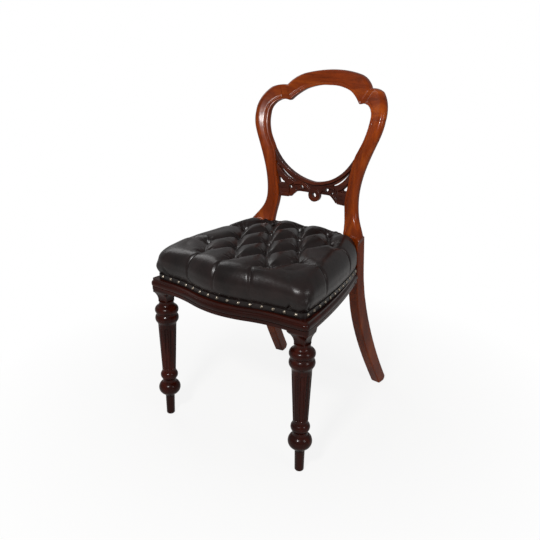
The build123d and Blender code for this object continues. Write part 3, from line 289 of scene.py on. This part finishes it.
def rubbedSkin(name, nodeNames, grid, passes):
    # pieces of the frame as one closed skin, its edges softened
    bm = bmesh.new()
    for nodeName in nodeNames:
        bm.from_mesh(nodes[nodeName].data)
    bmesh.ops.remove_doubles(bm, verts=bm.verts, dist=0.00001)
    mesh = bpy.data.meshes.new(name)
    bm.to_mesh(mesh)
    bm.free()
    carrier = bpy.data.objects.new(name, mesh)
    bpy.context.scene.collection.objects.link(carrier)
    skin = carrier.modifiers.new("skin", "REMESH")
    skin.mode = "VOXEL"
    skin.voxel_size = grid
    rub = carrier.modifiers.new("rubbed", "SMOOTH")
    rub.factor = 0.5
    rub.iterations = passes
    made = carrier.evaluated_get(bpy.context.evaluated_depsgraph_get())
    result = bmesh.new()
    result.from_mesh(made.to_mesh())
    made.to_mesh_clear()
    bpy.data.objects.remove(carrier)
    return result


def keepSide(bm, place, away):
    # cuts off what lies on the far side of a plane and closes the cut
    cut = bmesh.ops.bisect_plane(bm, geom=bm.verts[:] + bm.edges[:] + bm.faces[:], plane_co=place,
                                 plane_no=away, clear_outer=True)["geom_cut"]
    edges = [e for e in cut if isinstance(e, bmesh.types.BMEdge)]
    if edges:
        bmesh.ops.edgeloop_fill(bm, edges=edges)


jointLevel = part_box("crest_rail")[0][2]
frameSkin = rubbedSkin("frame", ("crest_rail", "right_back_leg", "left_back_leg"),
                       polish["frameGrid"], polish["framePasses"])
for nodeName, finish, cuts in (
        ("crest_rail", crestWood, (((0, 0, jointLevel), (0, 0, -1)),)),
        ("right_back_leg", stileWood, (((0, 0, jointLevel), (0, 0, 1)), ((0, 0, 0), (-1, 0, 0)))),
        ("left_back_leg", stileWood, (((0, 0, jointLevel), (0, 0, 1)), ((0, 0, 0), (1, 0, 0))))):
    piece = frameSkin.copy()
    for place, away in cuts:
        keepSide(piece, place, away)
    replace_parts(finishMesh("polished_" + nodeName, piece, finish), nodeName)
frameSkin.free()
carvedSkin = rubbedSkin("carving", ("carved_back_rail",), polish["carvedGrid"],
                        polish["carvedPasses"])
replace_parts(finishMesh("polished_carved_back_rail", carvedSkin, carvedWood),
            "carved_back_rail")
print("frame polished")

# the tufted seat: its section over the edge, its buttons and its folds
cushion = {
    "middle": 0.150,                                        # behind the leg line
    "bottom": 0.3938, "closed": 0.4222, "turnIn": 0.0024,   # the hem's edge, and the form's end
    "bandTop": 0.4085, "shoulder": 0.489, "inset": 0.036, "drop": 0.046,
    "bulge": 0.009, "bulgeRise": 0.026,
    "crown": 0.008, "rearRise": 0.011, "rearFade": (0.10, 0.33),
    "outlineLevels": (0.400, 0.450), "outlineSteps": 1440,
    "cornerAngle": -38, "cornerWidth": 12, "cornerSpan": 24, "frontFade": (0.05, 0.35),
    "cornerInset": 0.026, "cornerFall": 0.008, "cornerBulge": 0.002, "hemFade": (0.026, 0.055),
    "legAngle": 52.5, "legFade": (9.5, 15.5),
    "buttonLevel": 0.4688,
    "rows": ((0.022, (0, 0.097)), (0.088, (0.046, 0.138)), (0.161, (0, 0.093)),
             (0.236, (0.045, 0.133)), (0.316, (0, 0.089))),
    "frontRow": 0.03, "backRow": 0.3, "sideButton": 0.12,   # what lies beyond is pleated outward
    "foldStep": (0.03, 0.09), "foldAside": 0.06,            # between the two buttons of a fold
    "foldSag": 0.011, "foldReach": 0.044, "foldRound": 0.0012, "foldFree": 0.010,
    "wellFloor": 0.006, "wellReach": 0.020,
    "pleatStart": 0.006, "pleatEnd": 0.022, "pleatLean": 0.6,
    "pleatShoulder": 0.006, "pleatFoot": 0.001, "pleatReach": 0.010,
    "dartAngles": (-43.0, -34.5), "dartDepth": 0.0035, "dartReach": 0.009, "dartEnd": 0.018,
    "wrinkle": 0.0009, "wrinkleAway": 0.016, "wrinkleWidth": 0.008,
    "steps": 270, "topShare": 0.60, "gridHalf": (0.215, 0.20),
}
seatMiddle = np.array((0.0, legLine + cushion["middle"]))


def measureOutline(nodeName):
    # distance of the leather's outer face from the seat's middle, in every direction;
    # beside the back legs the hide has no skirt, and the stuffed part above it is measured
    cad = bmesh.new()
    cad.from_mesh(nodes[nodeName].data)
    cad.transform(nodes[nodeName].matrix_world)
    tree = BVHTree.FromBMesh(cad)
    cad.free()
    reach = []
    for step in range(cushion["outlineSteps"]):
        angle = step / cushion["outlineSteps"] * 2 * math.pi
        way = Vector((math.cos(angle), math.sin(angle), 0))
        hits = [tree.ray_cast(Vector((*seatMiddle, level)) + way * 0.5, -way, 0.45)[3]
                for level in cushion["outlineLevels"]]
        reach.append(0.5 - (hits[0] or hits[1]))
    return evened(np.array(reach), 4)


def evened(reach, span):
    # each direction's mean with its neighbours up to the span away
    return sum(np.roll(reach, k) for k in range(-span, span + 1)) / (2 * span + 1)


def smooth(low, high, value):
    # 0 below low, 1 above high, an even curve between
    t = np.clip((value - low) / (high - low), 0, 1)
    return t * t * (3 - 2 * t)


# the hem follows the rails' corners, and the stuffing above it is rounder at the front
directions = np.linspace(0, 2 * math.pi, cushion["outlineSteps"] + 1)
hemReach = measureOutline("leather_seat")
softReach = evened(hemReach, cushion["cornerSpan"])
frontShare = smooth(*cushion["frontFade"], -np.sin(directions[:-1]))
outlineReach = hemReach + (np.minimum(softReach, hemReach) - hemReach) * frontShare


def reachAt(angle, reach=outlineReach):
    # distance of an outline from the seat's middle in any direction
    return np.interp(np.mod(angle, 2 * math.pi), directions, np.append(reach, reach[0]))


def degreesUp(angle):
    # a direction's degrees from the chair's nearer side towards its back, the same on both sides
    return np.degrees(np.arctan2(np.sin(angle), np.abs(np.cos(angle))))


def legRoom(angle):
    # 1 on the free sides, 0 where the seat is drawn in against a back leg
    return smooth(*cushion["legFade"], np.abs(degreesUp(angle) - cushion["legAngle"]))


buttons = [(side * x, legLine + y) for y, places in cushion["rows"] for x in places
           for side in ((-1, 1) if x else (1,))]
shoulderArc = (cushion["inset"] + cushion["bulge"] + cushion["drop"]) * math.pi / 4
sideArc = cushion["shoulder"] - cushion["drop"] - cushion["bottom"]
sideRun = shoulderArc + sideArc


def cornerShare(angle):
    # 1 at the two front corners, 0 away from them
    return np.exp(-((degreesUp(angle) - cushion["cornerAngle"]) / cushion["cornerWidth"]) ** 2)


def insetAt(angle):
    # how far inside the outline the shoulder starts
    return cushion["inset"] + cushion["cornerInset"] * cornerShare(angle)


def crownHeight(share, angle, y):
    # the stuffing is fuller in the middle and towards the back, and falls to the front corners
    return (cushion["shoulder"] + cushion["crown"] * (1 - share**2)
            - cushion["cornerFall"] * cornerShare(angle) * share**3
            + cushion["rearRise"] * smooth(*cushion["rearFade"], y - legLine))


def shareOf(x, y):
    # how far a point of the top lies from the middle towards the edge
    dx, dy = x - seatMiddle[0], y - seatMiddle[1]
    angle = np.arctan2(dy, dx)
    return np.hypot(dx, dy) / (reachAt(angle) - insetAt(angle)), angle


def edgePoint(angle, run):
    # a point over the edge in the flat pattern, at this run beyond the shoulder's start
    return seatMiddle + np.array((math.cos(angle), math.sin(angle))) * (
        reachAt(angle) - insetAt(angle) + run)


def buttonDepth(place):
    # how deep a button is drawn into the bare cushion
    return float(crownHeight(*shareOf(*place), place[1])) - cushion["buttonLevel"]


def foldLines():
    # every fold: its two ends in the flat pattern, the depths there, its sag and reach;
    # from button to button, from the outer buttons over the edge, and darts at the corners
    folds = []
    nearest, farthest = cushion["foldStep"]
    for a in buttons:
        for b in buttons:
            if nearest < b[1] - a[1] < farthest and abs(a[0] - b[0]) < cushion["foldAside"]:
                folds.append((a, b, buttonDepth(a), buttonDepth(b), cushion["foldSag"],
                              cushion["foldReach"]))
    for a in buttons:
        y = a[1] - legLine
        if y < cushion["frontRow"]:
            over = (a[0] * 0.98 - 0.008, legLine - 0.04)
        elif y > cushion["backRow"]:
            over = (a[0] * 1.02, legLine + 0.352)
        elif abs(a[0]) > cushion["sideButton"]:
            over = (math.copysign(0.2, a[0]), a[1] - 0.006)
        else:
            continue
        angle = math.atan2(over[1] - seatMiddle[1], over[0] - seatMiddle[0])
        top = edgePoint(angle, cushion["pleatStart"])
        foot = edgePoint(angle + math.radians(cushion["pleatLean"]),
                         sideRun - cushion["pleatEnd"])
        folds.append((a, top, buttonDepth(a), cushion["pleatShoulder"], 0.002,
                      cushion["foldReach"] * 0.8))
        folds.append((top, foot, cushion["pleatShoulder"], cushion["pleatFoot"], 0.0,
                      cushion["pleatReach"]))
    for side in (0, 1):
        for corner in cushion["dartAngles"]:
            angle = math.radians(180 - corner if side else corner)
            folds.append((edgePoint(angle, shoulderArc * 1.15),
                          edgePoint(angle, sideRun - cushion["dartEnd"]),
                          0.0, cushion["dartDepth"], -0.001, cushion["dartReach"]))
    return folds


def foldDepth(flat):
    # how deep each point of the flat pattern is drawn in
    total = np.zeros(len(flat))
    for a, b, deepA, deepB, sag, reach in foldLines():
        a, b = np.array(a), np.array(b)
        run = b - a
        t = np.clip(((flat - a) @ run) / (run @ run), 0, 1)
        away = np.linalg.norm(flat - (a + t[:, None] * run), axis=1)
        away = np.sqrt(away**2 + cushion["foldRound"]**2) - cushion["foldRound"]
        depth = deepA + (deepB - deepA) * t - sag * np.sin(math.pi * t) ** 0.7
        total += (depth * np.clip(1 - away / reach, 0, 1) ** 3) ** 8
    drawn = total ** (1 / 8)
    for index, place in enumerate(buttons):
        away = np.linalg.norm(flat - np.array(place), axis=1)
        angle = np.arctan2(flat[:, 1] - place[1], flat[:, 0] - place[0])
        deep = buttonDepth(place)
        slope = np.clip(away - cushion["wellFloor"], 0, 1) / cushion["wellReach"]
        well = deep * np.clip(1 - slope, 0, 1) ** 2.2
        drawn = np.minimum((drawn**8 + well**8) ** (1 / 8), deep)
        wave = (np.sin(9 * angle + index * 1.7) + 0.7 * np.sin(14 * angle + index * 2.9)
                + 0.5 * np.sin(21 * angle + index))
        near = (away - cushion["wrinkleAway"]) / cushion["wrinkleWidth"]
        drawn += cushion["wrinkle"] * wave * np.exp(-near ** 2)
    return drawn


def sectionPoint(angle, run, top):
    # offset from the outline and height of the bare cushion, this far over the edge
    bend = np.clip(run / shoulderArc, 0, 1) * math.pi / 2
    bulge = cushion["bulge"] * legRoom(angle) + cushion["cornerBulge"] * cornerShare(angle)
    inset = insetAt(angle)
    offset = -inset + (inset + bulge) * np.sin(bend)
    low = cushion["bottom"] + sideArc
    down = np.clip((run - shoulderArc) / sideArc, 0, 1)
    height = np.where(down > 0, low - down * sideArc, low + (top - low) * np.cos(bend))
    lift = np.clip((height - cushion["bandTop"]) / cushion["bulgeRise"], 0, 1)
    offset = np.where(down > 0, bulge * np.sin(lift * math.pi / 2) ** 0.8, offset)
    return offset, height


def makeCushion():
    # a square grid, whose inner part is the top and whose outer part goes over the edge
    steps, topShare = cushion["steps"], cushion["topShare"]
    halfWidth, halfDepth = cushion["gridHalf"]
    bm = bmesh.new()
    bmesh.ops.create_grid(bm, x_segments=steps, y_segments=steps, size=1.0)
    square = np.array([v.co[:2] for v in bm.verts])
    ring = np.max(np.abs(square), axis=1)
    angle = np.arctan2(square[:, 1] * halfDepth, square[:, 0] * halfWidth)
    way = np.stack((np.cos(angle), np.sin(angle)), axis=1)
    edge = reachAt(angle)
    share = np.clip(ring / topShare, 0, 1)
    run = np.clip((ring - topShare) / (1 - topShare), 0, 1) * sideRun
    onTop = ring <= topShare
    inset = insetAt(angle)
    inner = share * (edge - inset)
    top = crownHeight(share, angle, seatMiddle[1] + way[:, 1] * inner)
    offset, height = sectionPoint(angle, run, top)
    hem = (reachAt(angle, hemReach) - edge) * (1 - smooth(*cushion["hemFade"], sideRun - run))
    radius = np.where(onTop, inner, edge + offset + hem)
    height = np.where(onTop, top, height)
    flat = seatMiddle + way * np.where(onTop, radius, edge - inset + run)[:, None]
    place = seatMiddle + way * radius[:, None]
    for v, (x, y), z in zip(bm.verts, place, height):
        v.co = (x, y, z)
    bm.normal_update()
    fade = smooth(0, cushion["foldFree"], sideRun - run)
    drawn = foldDepth(flat) * fade
    for v, deep in zip(bm.verts, drawn):
        v.co -= v.normal * float(deep)
    # the hide's lower edge turns in under the seat and the form is closed above the hessian
    border = [e for e in bm.edges if e.is_boundary]
    for level, inward in ((cushion["bottom"], cushion["turnIn"]), (cushion["closed"], 0)):
        made = bmesh.ops.extrude_edge_only(bm, edges=border)["geom"]
        border = [e for e in made if isinstance(e, bmesh.types.BMEdge)]
        for v in {v for e in border for v in e.verts}:
            v.co -= Vector((v.co.x, v.co.y - seatMiddle[1], 0)).normalized() * inward
            v.co.z = level
        border = [e for e in border if e.is_boundary]
    bmesh.ops.holes_fill(bm, edges=border, sides=0)
    bmesh.ops.recalc_face_normals(bm, faces=bm.faces)
    return bm


tuftedSeat = finishMesh("tufted_seat", makeCushion(), seatHide)
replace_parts(tuftedSeat, "leather_seat")
print("tufted seat made")

studio = {
    "floor": "#c8c6c2", "floorHalf": 6.0, "shadow": 0.88, "shadowReach": (0.3, 0.9),
    "world": 0.07, "gloss": 0.3, "key": 54, "rim": 12, "side": 12,
}


def addSeenWhite(tree):
    # 1 for what the camera sees, less in the gloss, 0 for what lights the chair
    path = addNode(tree, "ShaderNodeLightPath")
    gloss = addNode(tree, "ShaderNodeMath", {"operation": "MULTIPLY_ADD"},
                    i0=path.outputs["Is Glossy Ray"], i1=studio["gloss"],
                    i2=path.outputs["Is Camera Ray"])
    return addNode(tree, "ShaderNodeMath", {"operation": "MAXIMUM"}, i0=gloss.outputs[0],
                   i1=path.outputs["Is Transmission Ray"]).outputs[0]


def makePaleFloor():
    # nearly white to the camera with a faint shadow, plain pale card to the light
    material, tree, shader, coords = startMaterial("pale studio floor")
    shader.inputs["Base Color"].default_value = hexToLinear(studio["floor"])
    shader.inputs["Roughness"].default_value = 0.9
    shader.inputs["Specular IOR Level"].default_value = 0.1
    plain = addNode(tree, "ShaderNodeEmission", Color=(1, 1, 1, 1), Strength=1.0)
    far = addNode(tree, "ShaderNodeVectorMath", {"operation": "LENGTH"},
                  i0=coords.outputs["Object"])
    near, clear = studio["shadowReach"]
    white = addNode(tree, "ShaderNodeMapRange", Value=far.outputs["Value"], From_Min=near,
                    From_Max=clear, To_Min=studio["shadow"], To_Max=1.0)
    seen = addNode(tree, "ShaderNodeMath", {"operation": "MULTIPLY"}, i0=addSeenWhite(tree),
                   i1=white.outputs[0])
    mixed = addNode(tree, "ShaderNodeMixShader", i0=seen.outputs[0], i1=shader.outputs[0],
                    i2=plain.outputs[0])
    tree.links.new(mixed.outputs[0], tree.nodes["Material Output"].inputs["Surface"])
    return material


bm = bmesh.new()
bmesh.ops.create_grid(bm, x_segments=2, y_segments=2, size=studio["floorHalf"])
floorMesh = bpy.data.meshes.new("floor")
bm.to_mesh(floorMesh)
bm.free()
floor = bpy.data.objects.new("floor", floorMesh)
floor.data.materials.append(makePaleFloor())
bpy.context.scene.collection.objects.link(floor)


def addArea(name, place, aim, size, power):
    # a white rectangular lamp that faces its aim
    light = bpy.data.lights.new(name, "AREA")
    light.shape = "RECTANGLE"
    light.size, light.size_y = size
    light.energy = power
    lamp = bpy.data.objects.new(name, light)
    bpy.context.scene.collection.objects.link(lamp)
    way = Vector(aim) - Vector(place)
    turn = way.to_track_quat("-Z", "Y").to_matrix().to_4x4()
    lamp.matrix_world = Matrix.Translation(place) @ turn


addArea("key light", (0.45, -2.0, 2.0), (0, 0, 0.55), (0.36, 0.26), studio["key"])
addArea("rim light", (-1.7, 0.4, 2.0), (0, 0, 0.5), (1.0, 1.4), studio["rim"])
addArea("side light", (2.1, -0.4, 1.5), (0, 0, 0.6), (0.6, 0.9), studio["side"])

world = bpy.data.worlds.new("studio")
bpy.context.scene.world = world
world.use_nodes = True
backdrop = world.node_tree.nodes["Background"]
backdrop.inputs["Color"].default_value = (1, 1, 1, 1)
level = addNode(world.node_tree, "ShaderNodeMapRange", Value=addSeenWhite(world.node_tree),
                To_Min=studio["world"], To_Max=1.0)
world.node_tree.links.new(level.outputs[0], backdrop.inputs["Strength"])

view = {
    "place": (0.8609, legLine - 1.0699, 0.9484), "turn": 34.82, "pitch": 16.92, "roll": 0.61,
    "picture": 540, "focal": 619.6, "middle": (270, 240),          # in pixels
}
camera = bpy.data.cameras.new("camera")
camera.sensor_width = 36
camera.lens = view["focal"] / view["picture"] * camera.sensor_width
camera.shift_x = (view["picture"] / 2 - view["middle"][0]) / view["picture"]
camera.shift_y = (view["middle"][1] - view["picture"] / 2) / view["picture"]
camera.clip_start = 0.05
eye = bpy.data.objects.new("camera", camera)
bpy.context.scene.collection.objects.link(eye)
eye.matrix_world = (Matrix.Translation(view["place"])
                    @ Matrix.Rotation(math.radians(view["turn"]), 4, "Z")
                    @ Matrix.Rotation(math.radians(90 - view["pitch"]), 4, "X")
                    @ Matrix.Rotation(math.radians(view["roll"]), 4, "Z"))
bpy.context.scene.camera = eye
bpy.context.scene.view_settings.view_transform = "Standard"
print("camera and lights set")
